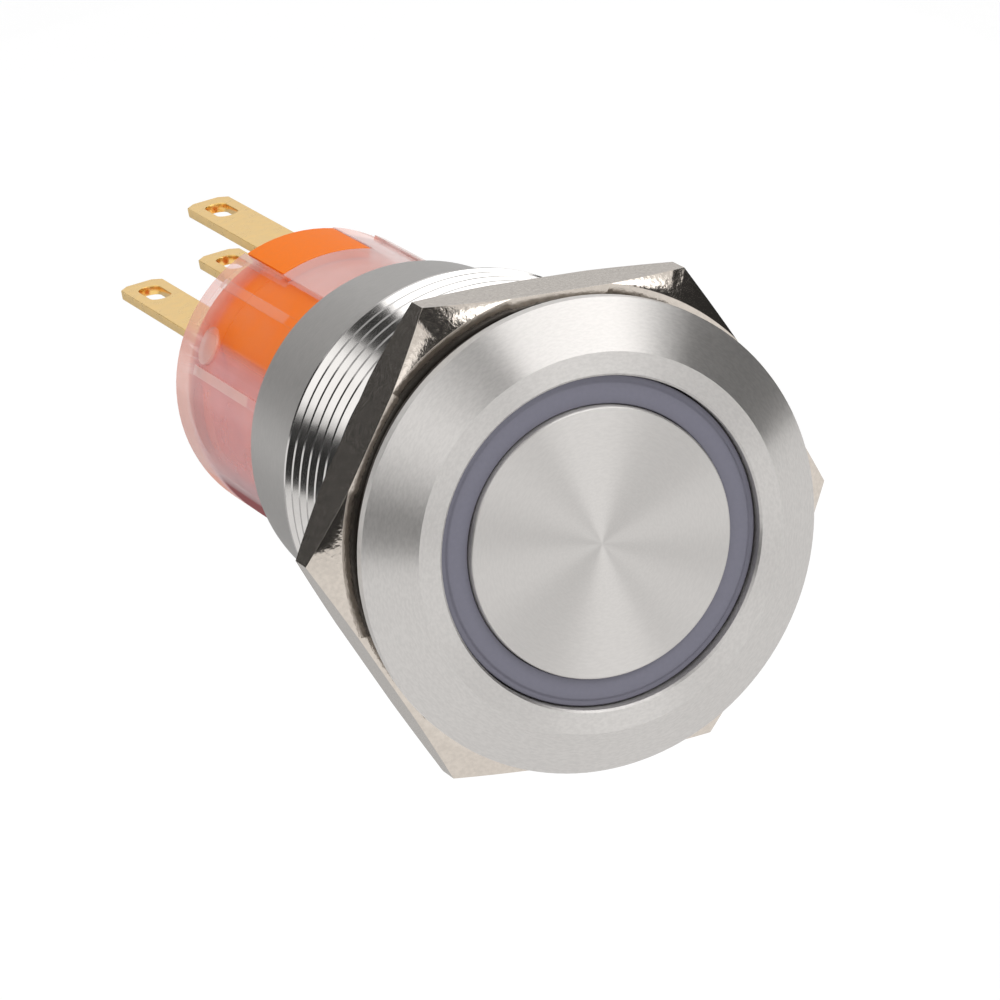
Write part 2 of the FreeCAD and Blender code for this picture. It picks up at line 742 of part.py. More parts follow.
def contact_blade():
    """Moving blade: a curl round the common tab's nose, two ears and a seat for the rivet."""
    body = new_body("contact_blade")
    inner = "(" + HALF_SHEET + " + 2*seat_gap)"
    outer = "(" + inner + " + curl_wall)"

    def draw_curl(sketch):
        add_circle(sketch, "0", "0", "2*" + outer)
        add_circle(sketch, "0", "0", "2*" + inner)

    sketch = new_sketch(body, "YZ_Plane")
    draw_curl(sketch)
    curl = body.newObject("PartDesign::Pad", "contact_blade_curl")
    curl.Profile = sketch
    curl.Midplane = True
    bind(curl, "Length", "blade_width")
    document.recompute()
    side_pad(body, box_corners("-contact_reach - contact_end", "-" + inner + " - curl_wall/2",
                               "-blade_thickness/2", "blade_thickness/2"), "blade_width")
    side_pad(body, box_corners("-ear_reach - ear_width/2", "-ear_reach + ear_width/2",
                               "-blade_thickness/2", "blade_thickness/2"), "chamber_width - 2*loose_gap")

    def mouth(sketch):
        half = "(" + HALF_SHEET + " + curl_wall)"
        add_outline(sketch, [("0", "-" + half), ("tab_width", "-" + half), ("tab_width", half), ("0", half)])

    sketch = new_sketch(body, "YZ_Plane")
    mouth(sketch)
    pocket = body.newObject("PartDesign::Pocket", "contact_blade_mouth")
    pocket.Profile = sketch
    pocket.Type = "ThroughAll"
    pocket.Midplane = True
    document.recompute()
    rivet = new_sketch(body, "XY_Plane")
    add_circle(rivet, "0", "-contact_reach", "contact_diameter/2")
    seat = body.newObject("PartDesign::Pocket", "contact_blade_seat")
    seat.Profile = rivet
    seat.Type = "ThroughAll"
    seat.Midplane = True
    document.recompute()
    tilt(body)


def moving_contact():
    """Silver rivet through the blade's end, with a face on each side."""
    body = new_body("moving_contact")
    head = "(blade_thickness/2 + contact_thickness)"
    sketch = new_sketch(body, "XY_Plane")
    add_circle(sketch, "0", "-contact_reach", "contact_diameter")
    pad = body.newObject("PartDesign::Pad", "moving_contact_heads")
    pad.Profile = sketch
    pad.Midplane = True
    bind(pad, "Length", "2*" + head)
    document.recompute()
    ring = new_sketch(body, "XY_Plane")
    add_circle(ring, "0", "-contact_reach", "2*contact_diameter")
    add_circle(ring, "0", "-contact_reach", "contact_diameter/2")
    waist = body.newObject("PartDesign::Pocket", "moving_contact_waist")
    waist.Profile = ring
    waist.Midplane = True
    bind(waist, "Length", "blade_thickness")
    document.recompute()
    tilt(body)


def slider():
    """Fork that the plunger pushes: two cheeks with cam slots, a face and a spring seat."""
    body = new_body("slider")
    half = "(chamber_width/2 - loose_gap)"

    def face(sketch):
        add_outline(sketch, box_corners("-" + half, half, SLIDER_BOTTOM, SLIDER_TOP))

    length = SLIDER_REAR + " - " + SLIDER_FRONT
    raised(body, face, SLIDER_FRONT, length)

    def throat(sketch):
        gap = "(" + half + " - cheek_thickness)"
        add_outline(sketch, box_corners("-" + gap, gap, OPEN_HEIGHT + " - tab_thickness",
                                        SLIDER_TOP + " + overcut"))

    cut(body, throat, SLIDER_FACE, length)

    def spring_space(sketch):
        gap = "(" + half + " - cheek_thickness)"
        add_outline(sketch, box_corners("-" + gap, gap, SLIDER_BOTTOM + " - overcut",
                                        SLIDER_TOP + " + overcut"))

    cut(body, spring_space, SPRING_SEAT, length)

    def socket(sketch):
        add_circle(sketch, "0", "0", "plunger_diameter + 2*seat_gap")

    cut(body, socket, "(" + SLIDER_FRONT + " - overcut)", "socket_depth + overcut + seat_gap")
    cam_slot(body)


def cam_slot(body):
    """Sloping slot through both cheeks, in which the blade's ears ride."""
    rest = "(" + PIVOT + " - ear_reach)"
    gap = "(blade_thickness/2 + loose_gap)"
    slope = "tan(2*blade_tilt*1deg)*ear_reach/stroke"
    middle = "(" + COMMON_HEIGHT + " + ear_reach*sin(blade_tilt*1deg))"
    front = "(" + rest + " - stroke - ear_width/2 - loose_gap)"
    rear = "(" + rest + " + ear_width/2 + loose_gap)"
    low = "%s - (%s - %s)*%s" % (middle, rest, front, slope)
    high = "%s + (%s - %s)*%s" % (middle, rear, rest, slope)
    sketch = new_sketch(body, "YZ_Plane")
    add_outline(sketch, [
        (front, low + " - " + gap), (rear, high + " - " + gap),
        (rear, high + " + " + gap), (front, low + " + " + gap),
    ])
    slot = body.newObject("PartDesign::Pocket", "slider_cam_slot")
    slot.Profile = sketch
    slot.Type = "ThroughAll"
    slot.Midplane = True
    document.recompute()


def build():
    housing()
    panel_gasket()
    clamp_nut()
    button_disc()
    light_ring()
    plunger()
    retaining_clip()
    coil("return_spring", SPRING_D, "return_spring_wire", "return_spring_turns",
         SKIRT_REAR, SHOULDER, "0")
    led_board()
    leds()
    lamp_resistor()
    contact_block()
    terminal_base()
    clear_cover()
    slider()
    coil("slider_spring", "slider_spring_diameter", "slider_spring_wire", "slider_spring_turns",
         SPRING_SEAT, BLOCK_REAR, SPRING_HEIGHT)
    terminal_common()
    bent_tab("terminal_normally_open", OPEN_HEIGHT, "(" + COMMON_HEIGHT + " - contact_height)",
             "(" + BLOCK_REAR + " - tab_thickness)")
    bent_tab("terminal_normally_closed", CLOSED_HEIGHT, "(" + COMMON_HEIGHT + " + contact_height)",
             "(" + BLOCK_REAR + " + " + HALF_SHEET + " + bend_length)")
    terminal_lamp("terminal_lamp_plus", "")
    terminal_lamp("terminal_lamp_minus", "-")
    fixed_contacts()
    contact_blade()
    moving_contact()


def write_pieces():
    document.recompute()
    for thing in document.Objects:
        if "Invalid" in thing.State or "Error" in thing.State:
            raise RuntimeError(thing.Label + " failed: " + ", ".join(thing.State))
    os.makedirs("parts", exist_ok=True)
    for piece in pieces:
        shape = piece.Shape
        if shape.isNull() or not shape.isValid():
            raise RuntimeError(piece.Label + " has no valid shape")
    for piece in pieces:
        piece.Shape.exportStep("parts/" + piece.Label + ".step")
        box = piece.Shape.BoundBox
        print("%-26s solids %d  volume %8.2f  x %.2f..%.2f  y %.2f..%.2f  z %.2f..%.2f" % (
            piece.Label, len(piece.Shape.Solids), piece.Shape.Volume,
            box.XMin, box.XMax, box.YMin, box.YMax, box.ZMin, box.ZMax))


build()
write_pieces()
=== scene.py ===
"""Ring-lit push button with a stainless head, threaded barrel, hexagon nut and clear rear cover."""
import math

import bmesh
import bpy
from bpy.props import FloatProperty, FloatVectorProperty, IntProperty, PointerProperty
from mathutils import Matrix, Vector


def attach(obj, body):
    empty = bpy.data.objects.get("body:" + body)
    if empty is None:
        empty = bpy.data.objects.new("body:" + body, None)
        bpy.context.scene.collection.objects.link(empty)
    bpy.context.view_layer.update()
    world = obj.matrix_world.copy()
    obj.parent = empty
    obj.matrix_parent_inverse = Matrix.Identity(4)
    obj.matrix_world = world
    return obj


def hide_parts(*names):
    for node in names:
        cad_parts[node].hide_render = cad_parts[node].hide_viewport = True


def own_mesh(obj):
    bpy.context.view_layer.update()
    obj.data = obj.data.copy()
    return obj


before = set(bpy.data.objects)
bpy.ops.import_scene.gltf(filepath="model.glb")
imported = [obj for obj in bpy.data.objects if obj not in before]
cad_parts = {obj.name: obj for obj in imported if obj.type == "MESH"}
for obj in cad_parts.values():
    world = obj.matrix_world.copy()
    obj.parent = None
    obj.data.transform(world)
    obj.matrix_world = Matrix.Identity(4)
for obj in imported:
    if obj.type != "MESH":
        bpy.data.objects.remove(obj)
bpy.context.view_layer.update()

bl_info = {
    "name": "Ring-lit push button",
    "version": (1, 0, 0),
    "blender": (4, 2, 0),
    "location": "3D View > Sidebar > Push Button",
    "description": "Models and finishes the pieces of a ring-lit push button over its CAD solids",
    "category": "Object",
}

MM = 0.001
# Places along the axis in millimetres: the head's underside is at 0, and the front is below it.
HEAD_FRONT = -2.1
GASKET_REAR = 1.1


def linear(code):
    """Linear colour of an sRGB hex value."""
    channels = [int(code[i:i + 2], 16) / 255 for i in (1, 3, 5)]
    return tuple(c / 12.92 if c <= 0.04045 else ((c + 0.055) / 1.055) ** 2.4 for c in channels)


def mm(name, size, note):
    """A length in millimetres that a user may change."""
    return FloatProperty(name=name, default=size, min=0, description=note, unit="NONE")


def colour(name, code, note):
    """A colour that a user may change, given as an sRGB hex value."""
    return FloatVectorProperty(name=name, default=linear(code), size=3, min=0, max=1, subtype="COLOR",
                               description=note)


class BarrelSizes(bpy.types.PropertyGroup):
    head_radius: mm("Head radius", 11.0, "Outer radius of the bevelled head")
    bevel_radius: mm("Bevel inner radius", 8.8, "Radius where the flat front land ends and the bevel starts")
    bevel_depth: mm("Bevel depth", 1.44, "How far the bevel falls back")
    thread_radius: mm("Thread crest radius", 9.45, "Radius over the crests of the thread")
    thread_depth: mm("Thread depth", 0.5, "Depth of the thread below its crests")
    thread_pitch: mm("Thread pitch", 1.0, "Distance from crest to crest")
    thread_end: mm("Thread end", 14.7, "Where the thread has run out, from the underside of the head")
    tail_radius: mm("Tail radius", 8.35, "Radius of the tail at its rear rim")
    tail_end: mm("Tail end", 21.2, "Rear rim of the housing, from the underside of the head")
    steps: IntProperty(name="Steps per turn", default=144, min=24, max=360,
                       description="Faces round the barrel")


class NutSizes(bpy.types.PropertyGroup):
    flats: mm("Across flats", 22.0, "Width over two opposite flats")
    thickness: mm("Thickness", 3.0, "Length of the nut along the thread")
    face_radius: mm("Face radius", 11.25, "Radius of the flat ring on each face, inside the chamfer")
    chamfer: FloatProperty(name="Chamfer angle", default=math.radians(30), min=0, max=1.2, subtype="ANGLE",
                           description="Slope of the corner chamfer against the face")
    turn: FloatProperty(name="Turn", default=math.radians(-7.7), subtype="ANGLE",
                        description="How far the nut is turned on the thread")


class CoverSizes(bpy.types.PropertyGroup):
    radius: mm("Cover radius", 7.35, "Outer radius of the clear cover behind its flare")
    rib_height: mm("Rib height", 0.16, "How far the ribs stand out of the cover")


class FinishColours(bpy.types.PropertyGroup):
    steel: colour("Steel", "#D1CECB", "Turned stainless steel of the head, barrel and disc")
    nickel: colour("Nickel", "#D2C9BF", "Nickel plate of the clamp nut")
    ring: colour("Light ring", "#7E7D8B", "Diffusing plastic of the unlit ring")
    orange: colour("Orange", "#FF7E0A", "Moulded contact block")
    tab: colour("Tabs", "#F8D183", "Tinned brass of the solder tabs")
    # The rose in this colour is painted light from the orange block behind the cover.
    clear: colour("Cover", "#F2D4D0", "Clear polycarbonate of the rear cover")
    floor: colour("Floor", "#CBCBCB", "Studio floor")


# Mesh helpers. Every mesh is drawn in millimetres and stored in metres.

def wire(bm, points, closed):
    """A line through points given as (radius, place along the axis)."""
    verts = [bm.verts.new((radius, place, 0)) for radius, place in points]
    ends = verts[1:] + verts[:1] if closed else verts[1:]
    edges = [bm.edges.new(pair) for pair in zip(verts, ends)]
    return verts + edges


def turned(bm, points, steps=144, closed=True):
    """Turn a line about the Y axis. Poles on the axis are closed."""
    before = set(bm.faces)
    bmesh.ops.spin(bm, geom=wire(bm, points, closed), cent=(0, 0, 0), axis=(0, 1, 0), angle=2 * math.pi,
                   steps=steps, use_merge=True)
    bmesh.ops.remove_doubles(bm, verts=bm.verts, dist=1e-4)
    return [face for face in bm.faces if face not in before]


def store(bm, name, materials, sharp=None):
    """Turn the faces outwards and keep the mesh as an object in place, with smooth or marked edges."""
    bmesh.ops.recalc_face_normals(bm, faces=bm.faces)
    for face in bm.faces:
        face.smooth = True
    if sharp:
        for edge in bm.edges:
            if len(edge.link_faces) == 2 and edge.calc_face_angle(0) > math.radians(sharp):
                edge.smooth = False
    bmesh.ops.scale(bm, vec=(MM, MM, MM), verts=bm.verts)
    mesh = bpy.data.meshes.new(name)
    bm.to_mesh(mesh)
    bm.free()
    for material in materials:
        mesh.materials.append(material)
    piece = bpy.data.objects.new(name, mesh)
    bpy.context.scene.collection.objects.link(piece)
    return piece


def soften(piece, width, segments=2, angle=30):
    """Round the edges of a piece, width in millimetres."""
    bevel = piece.modifiers.new("Edge break", "BEVEL")
    bevel.width = width * MM
    bevel.segments = segments
    bevel.limit_method = "ANGLE"
    bevel.angle_limit = math.radians(angle)
    bevel.harden_normals = False
    bevel.miter_outer = "MITER_ARC"
    normals = piece.modifiers.new("Flat faces", "WEIGHTED_NORMAL")
    normals.keep_sharp = True
    return piece


def placed(piece, body, *nodes):
    """Let the piece ride on its body and stand for its CAD nodes."""
    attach(piece, body)
    if nodes:
        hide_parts(*nodes)
    return piece


def node_copy(node):
    """A merged copy of a CAD node's mesh, in millimetres, ready to be worked on."""
    bm = bmesh.new()
    bm.from_mesh(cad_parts[node].data)
    bmesh.ops.remove_doubles(bm, verts=bm.verts, dist=1e-6)
    bmesh.ops.dissolve_limit(bm, angle_limit=math.radians(0.5), verts=bm.verts, edges=bm.edges)
    bmesh.ops.scale(bm, vec=(1 / MM,) * 3, verts=bm.verts)
    for face in bm.faces:
        face.material_index = 0
    return bm


def carve(piece, tool):
    """Keep what the piece has in common with a tool, in the piece's own mesh, and drop the tool."""
    cut = piece.modifiers.new("Cut", "BOOLEAN")
    cut.operation = "INTERSECT"
    cut.solver = "EXACT"
    cut.object = tool
    graph = bpy.context.evaluated_depsgraph_get()
    mesh = bpy.data.meshes.new_from_object(piece.evaluated_get(graph))
    piece.modifiers.remove(cut)
    old = piece.data
    piece.data = mesh
    bpy.data.meshes.remove(old)
    spent = tool.data
    bpy.data.objects.remove(tool)
    bpy.data.meshes.remove(spent)


# Materials

def add_node(tree, kind, settings=None, **links):
    """Add a node with its settings and links.

    The settings are properties of the node or, by name or number, values of its inputs. A link names its
    input, or gives its number after an i, and comes from an output or from the first output of a node.
    """
    node = tree.nodes.new(kind)
    for key, value in (settings or {}).items():
        if isinstance(key, str) and hasattr(node, key):
            setattr(node, key, value)
        else:
            node.inputs[key].default_value = value
    for key, source in links.items():
        target = int(key[1:]) if key[0] == "i" and key[1:].isdigit() else key.replace("_", " ")
        if hasattr(source, "outputs"):
            source = source.outputs[0]
        tree.links.new(source, node.inputs[target])
    return node


def new_material(name, constants=None):
    """A material, its tree and its shader, whose sockets hold the constants."""
    material = bpy.data.materials.new(name)
    material.use_nodes = True
    tree = material.node_tree
    tree.nodes.clear()
    shader = add_node(tree, "ShaderNodeBsdfPrincipled", constants)
    add_node(tree, "ShaderNodeOutputMaterial", Surface=shader)
    return material, tree, shader


def seen_rays(tree):
    """One for the camera's rays, mirrored ones and those through clear plastic, and zero for soft light."""
    path = add_node(tree, "ShaderNodeLightPath").outputs
    clear = add_node(tree, "ShaderNodeMath", {"operation": "MAXIMUM"}, i0=path["Is Camera Ray"],
                     i1=path["Is Transmission Ray"])
    return add_node(tree, "ShaderNodeMath", {"operation": "MAXIMUM"}, i0=clear, i1=path["Is Glossy Ray"])


def round_grain(tree, length, width):
    """Grain that runs round the Y axis, as turning leaves it.

    length is how many marks follow each other in a radian, and width how wide one is, in millimetres.
    """
    place = add_node(tree, "ShaderNodeTexCoord").outputs["Object"]
    flat = add_node(tree, "ShaderNodeVectorMath", {"operation": "MULTIPLY", 1: (1, 0, 1)}, i0=place)
    round_way = add_node(tree, "ShaderNodeVectorMath", {"operation": "NORMALIZE"}, i0=flat)
    marks = add_node(tree, "ShaderNodeVectorMath", {"operation": "MULTIPLY", 1: (length, length, length)},
                     i0=round_way)
    radius = add_node(tree, "ShaderNodeVectorMath", {"operation": "LENGTH"}, i0=flat).outputs["Value"]
    along = add_node(tree, "ShaderNodeSeparateXYZ", Vector=place).outputs["Y"]
    reach = add_node(tree, "ShaderNodeMath", {"operation": "ADD"}, i0=radius, i1=along)
    rows = add_node(tree, "ShaderNodeMath", {"operation": "MULTIPLY", 1: 1 / (width * MM)}, i0=reach)
    shift = add_node(tree, "ShaderNodeCombineXYZ", Y=rows)
    spot = add_node(tree, "ShaderNodeVectorMath", {"operation": "ADD"}, i0=marks, i1=shift)
    return add_node(tree, "ShaderNodeTexNoise", {"Scale": 1.0, "Detail": 2.0}, Vector=spot)


def surface(tree, shader, pattern, colours, tint, roughness, spread, bump_height):
    """Vary colour, roughness and height of a surface by one pattern. bump_height is in millimetres."""
    ramp = add_node(tree, "ShaderNodeValToRGB", Fac=pattern)
    dark = tuple(c * tint for c in colours)
    for element, place, shade in zip(ramp.color_ramp.elements, (0.35, 0.65), (dark, colours)):
        element.position = place
        element.color = (*shade, 1)
    tree.links.new(ramp.outputs[0], shader.inputs["Base Color"])
    rough = add_node(tree, "ShaderNodeMapRange", {"To Min": roughness - spread, "To Max": roughness + spread},
                     Value=pattern)
    tree.links.new(rough.outputs[0], shader.inputs["Roughness"])
    bump = add_node(tree, "ShaderNodeBump", {"Strength": 1.0, "Distance": bump_height * MM}, Height=pattern)
    tree.links.new(bump.outputs[0], shader.inputs["Normal"])


def turned_metal(name, colours, roughness, anisotropy, length, width, bump_height, tint=0.9):
    """Metal as turned: grain round the axis spreads each highlight towards the axis and away from it."""
    material, tree, shader = new_material(name, {
        "Metallic": 1, "Anisotropic": anisotropy, "Anisotropic Rotation": 0.25})
    surface(tree, shader, round_grain(tree, length, width), colours, tint, roughness, 0.05, bump_height)
    place = add_node(tree, "ShaderNodeTexCoord").outputs["Object"]
    tangent = add_node(tree, "ShaderNodeVectorMath", {"operation": "CROSS_PRODUCT", 1: (0, 1, 0)}, i0=place)
    tree.links.new(tangent.outputs[0], shader.inputs["Tangent"])
    return material


def clouded(name, colours, roughness, spread, size, bump_height, tint, constants):
    """A surface with clouds and dents about size millimetres across, over the shader's constants."""
    material, tree, shader = new_material(name, constants)
    place = add_node(tree, "ShaderNodeTexCoord").outputs["Object"]
    clouds = add_node(tree, "ShaderNodeTexNoise", {"Scale": 1 / (size * MM), "Detail": 3.0}, Vector=place)
    surface(tree, shader, clouds, colours, tint, roughness, roughness * spread, bump_height)
    return material


def bright_metal(name, colours, roughness, size=0.4, bump_height=0.002, tint=0.93):
    """Plated, rolled or cut metal: smooth, with faint clouds and dents."""
    return clouded(name, colours, roughness, 0.3, size, bump_height, tint, {"Metallic": 1})


def moulded(name, colours, roughness, size=0.25, bump_height=0.003, tint=0.94, specular=0.5):
    """Moulded plastic or rubber: an even colour with the texture of its tool, drawn coarse enough to show."""
    return clouded(name, colours, roughness, 0.15, size, bump_height, tint,
                   {"IOR": 1.5, "Specular IOR Level": specular})


def spring_steel():
    """Drawn spring wire: bright, with faint drawing marks."""
    return bright_metal("Spring steel, drawn bright", linear("#B9B8B4"), 0.25)


def clear_plastic(name, colours, radius, rib_height):
    """Clear polycarbonate over the orange block: close against it in places, with a gap in others, and light
    and shade painted on it.
    """
    material, tree, shader = new_material(name, {"IOR": 1.58, "Specular IOR Level": 0.3})
    metres = add_node(tree, "ShaderNodeTexCoord").outputs["Object"]
    place = add_node(tree, "ShaderNodeVectorMath", {"operation": "MULTIPLY", 1: (1 / MM,) * 3}, i0=metres)
    value = dict(zip("xyz", add_node(tree, "ShaderNodeSeparateXYZ", Vector=place).outputs))
    flat = add_node(tree, "ShaderNodeCombineXYZ", X=value["x"], Z=value["z"])
    length = add_node(tree, "ShaderNodeVectorMath", {"operation": "LENGTH"}, i0=flat)
    value["radius"] = length.outputs["Value"]
    value["aside"] = add_node(tree, "ShaderNodeMath", {"operation": "ABSOLUTE"}, i0=value["x"])
    value["slope"] = add_node(tree, "ShaderNodeMath", {"operation": "DIVIDE"}, i0=value["x"], i1=value["z"])
    value["slant"] = add_node(tree, "ShaderNodeLayerWeight", {"Blend": 0.5}).outputs["Facing"]
    # Each region fades in or out between two values of its source, which is a place in millimetres, the slope
    # x / z round the axis, or how much the surface turns away from the eye. Its shares come last.
    for region, source, start, end, first, last in (
            ("above", "z", 2, 3, 0, 1),
            ("low", "z", -3.2, -1.4, 1, 0),
            # Over the block's flats the cover stands off it: its milky pale pink there is painted light from
            # the gap.
            ("over_flats", "aside", 5.8, 6.2, 0, 1),
            ("beside_window", "slope", -0.35, -0.33, 0, 1),
            ("window_length", "y", 29.3, 29.45, 1, 0),
            ("past_window", "slope", 0.34, 0.37, 0, 1),
            ("proud", "radius", radius + 0.45 * rib_height, radius + 0.95 * rib_height, 0, 1),
            ("straight", "y", 24.2, 24.6, 0, 1),
            ("edge_left", "slope", -0.4, -0.385, 0, 1),
            ("edge_right", "slope", -0.35, -0.33, 1, 0),
            ("edge_length", "y", 28.9, 29.1, 0, 1),
            # Towards the rear rim: a milky salmon, painted orange light that the thick rim shows from the
            # block.
            ("rear_end", "y", 32, 33.5, 0, 1),
            ("middle", "y", 31.5, 33, 1, 0),
            ("steep", "slant", 0.66, 0.82, 0, 1),
            ("rim", "slant", 0.74, 0.97, 0, 1)):
        value[region] = add_node(tree, "ShaderNodeMapRange", {
            "interpolation_type": "SMOOTHSTEP", "From Min": start, "From Max": end, "To Min": first,
            "To Max": last}, Value=value[source])
    # Regions made of two others.
    for region, operation, one, other in (
            ("before_window", "MULTIPLY", "beside_window", "window_length"),
            ("open_gap", "MAXIMUM", "before_window", "past_window"),
            # Above the axis beside the window the cover stands off the block: its milk there is painted light
            # from the gap.
            ("gap", "MULTIPLY", "above", "open_gap"),
            ("ribs", "MULTIPLY", "proud", "straight"),
            ("edge_width", "MULTIPLY", "edge_left", "edge_right"),
            ("edge", "MULTIPLY", "edge_width", "edge_length"),
            ("window_edge", "MULTIPLY", "above", "edge"),
            # Painted highlights: the raised ribs and the window's edge are made lighter and milkier.
            ("bright", "MAXIMUM", "ribs", "window_edge"),
            ("low_middle", "MULTIPLY", "low", "middle"),
            # Painted shade: low in the middle of the cover, where it turns away from the eye, it gets a milky
            # dark rose.
            ("painted_shade", "MULTIPLY", "low_middle", "steep")):
        value[region] = add_node(tree, "ShaderNodeMath", {"operation": operation}, i0=value[one],
                                 i1=value[other])
    tint = add_node(tree, "ShaderNodeRGB").outputs[0]
    tint.default_value = (*colours, 1)
    # Tints over the clear colour: pale pink over the flats is painted light in the gap, the dark rose low
    # down painted shade, salmon at the rear painted orange light through the rim, and pale pink on the ribs
    # and window edge painted highlight.
    for region, code in (
            ("over_flats", "#FBCDD0"), ("painted_shade", "#A5696A"), ("rear_end", "#FFC6B8"), ("bright", "#F4D6CE")):
        tint = add_node(tree, "ShaderNodeMix", {"data_type": "RGBA", 7: (*linear(code), 1)},
                        Factor=value[region], i6=tint).outputs[2]
    tree.links.new(tint, shader.inputs["Base Color"])
    # Clouds 2 mm across, and on top of them how milky each region is.
    clouds = add_node(tree, "ShaderNodeTexNoise", {"Scale": 0.5, "Detail": 1.0}, Vector=place)
    milk = add_node(tree, "ShaderNodeMapRange", {
        "From Min": 0.3, "From Max": 0.7, "To Min": 0.01, "To Max": 0.05}, Value=clouds)
    for region, amount in (
            ("over_flats", 0.36), ("gap", 0.42), ("bright", 0.16), ("rim", 0.35), ("rear_end", 0.34),
            ("painted_shade", 0.45)):
        milk = add_node(tree, "ShaderNodeMath", {"operation": "MULTIPLY_ADD", 1: amount, "use_clamp": True},
                        i0=value[region], i2=milk)
    tree.links.new(milk.outputs[0], shader.inputs["Alpha"])
    rough = add_node(tree, "ShaderNodeMapRange", {"To Min": 0.1, "To Max": 0.22}, Value=clouds)
    tree.links.new(rough.outputs[0], shader.inputs["Roughness"])
    bump = add_node(tree, "ShaderNodeBump", {"Strength": 1.0, "Distance": 0.003 * MM}, Height=clouds)
    tree.links.new(bump.outputs[0], shader.inputs["Normal"])
    # The gloss fades out low on the cover, which would mirror the white floor.
    gloss = add_node(tree, "ShaderNodeMath", {"operation": "MULTIPLY_ADD", 1: -0.3, 2: 0.3}, i0=value["low"])
    tree.links.new(gloss.outputs[0], shader.inputs["Specular IOR Level"])
    return material


# Stage helpers

def studio_card(bm, name, grey):
    """A card that only reflections show, the same grey from every side."""
    paint = new_material("Even grey, " + name.replace("_", " "), {
        "Base Color": (0, 0, 0, 1), "Specular IOR Level": 0, "Emission Color": (1, 1, 1, 1),
        "Emission Strength": grey})[0]
    card = store(bm, name, (paint,))
    for ray in ("camera", "diffuse", "shadow", "transmission"):
        setattr(card, "visible_" + ray, False)


def lamp(name, azimuth, elevation, distance, width, height, brightness):
    """A soft box that faces the origin, placed in degrees from the front and above. Brightness 1 is white."""
    light = bpy.data.lights.new(name, "AREA")
    light.shape = "RECTANGLE"
    light.size = width * MM
    light.size_y = height * MM
    light.energy = brightness * math.pi * light.size * light.size_y
    holder = bpy.data.objects.new(name, light)
    bpy.context.scene.collection.objects.link(holder)
    aside, rise = math.radians(azimuth), math.radians(elevation)
    way = Vector((math.sin(aside) * math.cos(rise), -math.cos(aside) * math.cos(rise), math.sin(rise)))
    place = way * distance * MM
    holder.location = place
    holder.rotation_euler = (-place).to_track_quat("-Z", "Y").to_euler()


# Pieces

